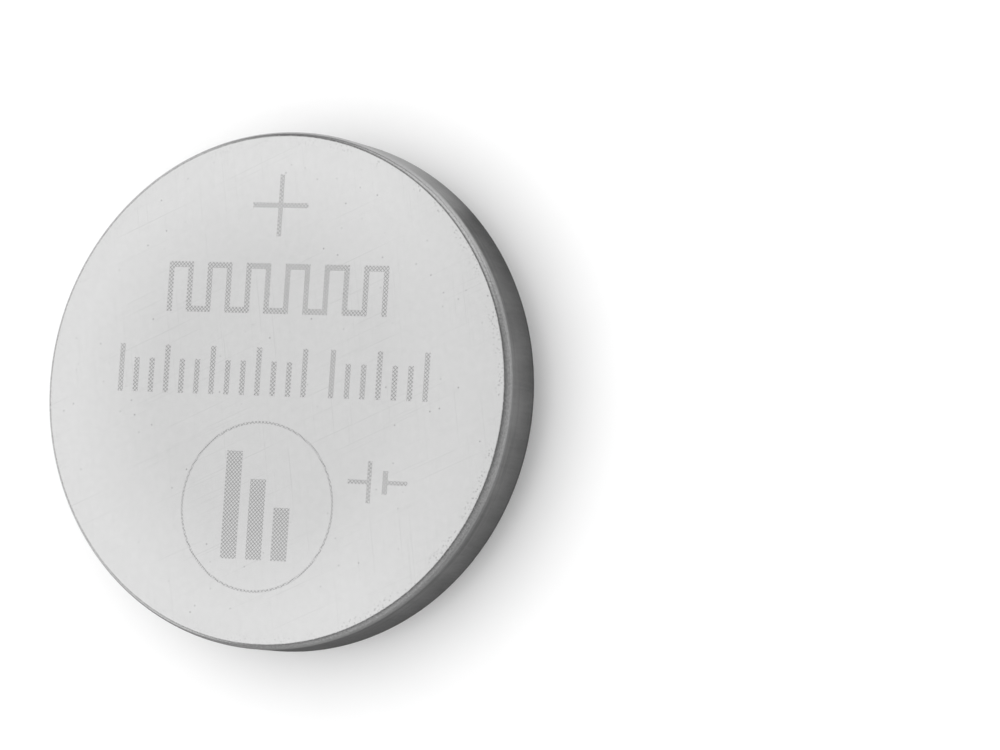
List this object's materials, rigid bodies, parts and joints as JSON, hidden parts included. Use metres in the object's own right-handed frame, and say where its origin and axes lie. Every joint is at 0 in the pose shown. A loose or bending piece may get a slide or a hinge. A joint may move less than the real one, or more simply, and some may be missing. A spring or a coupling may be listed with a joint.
{
  "type": "lithium coin cell",
  "caption": "Round flat lithium coin cell: a steel can with a smooth positive face, crimped over a gasket onto a dimpled negative cap.",
  "frame": {"origin": "on the cell's axis, at the level of the negative cap's dimples, where the cell rests on a table", "axes": "+Z along the axis from the negative cap to the positive face; +Y towards the top of the marks on the positive face"},
  "size_m": [0.0244, 0.0244, 0.005],
  "materials": {
    "can_steel": "nickel-faced steel with a fine satin grain, smooth rolled edges and etched marks",
    "cap_steel": "bright satin steel with rows of small raised dimples",
    "gasket_plastic": "black moulded plastic, slightly glossy where it is squeezed",
    "lithium": "dull soft metal with rolling lines",
    "separator_felt": "white felted fibre",
    "pressed_cathode": "dark pressed powder, matt with fine grit",
    "ring_steel": "thin bright pressed steel"
  },
  "bodies": {
    "root": {"positive_can": "can_steel", "negative_cap": "cap_steel", "gasket": "gasket_plastic", "lithium_disc": "lithium", "separator": "separator_felt", "cathode_pellet": "pressed_cathode", "cathode_ring": "ring_steel"}
  },
  "joints": []
}
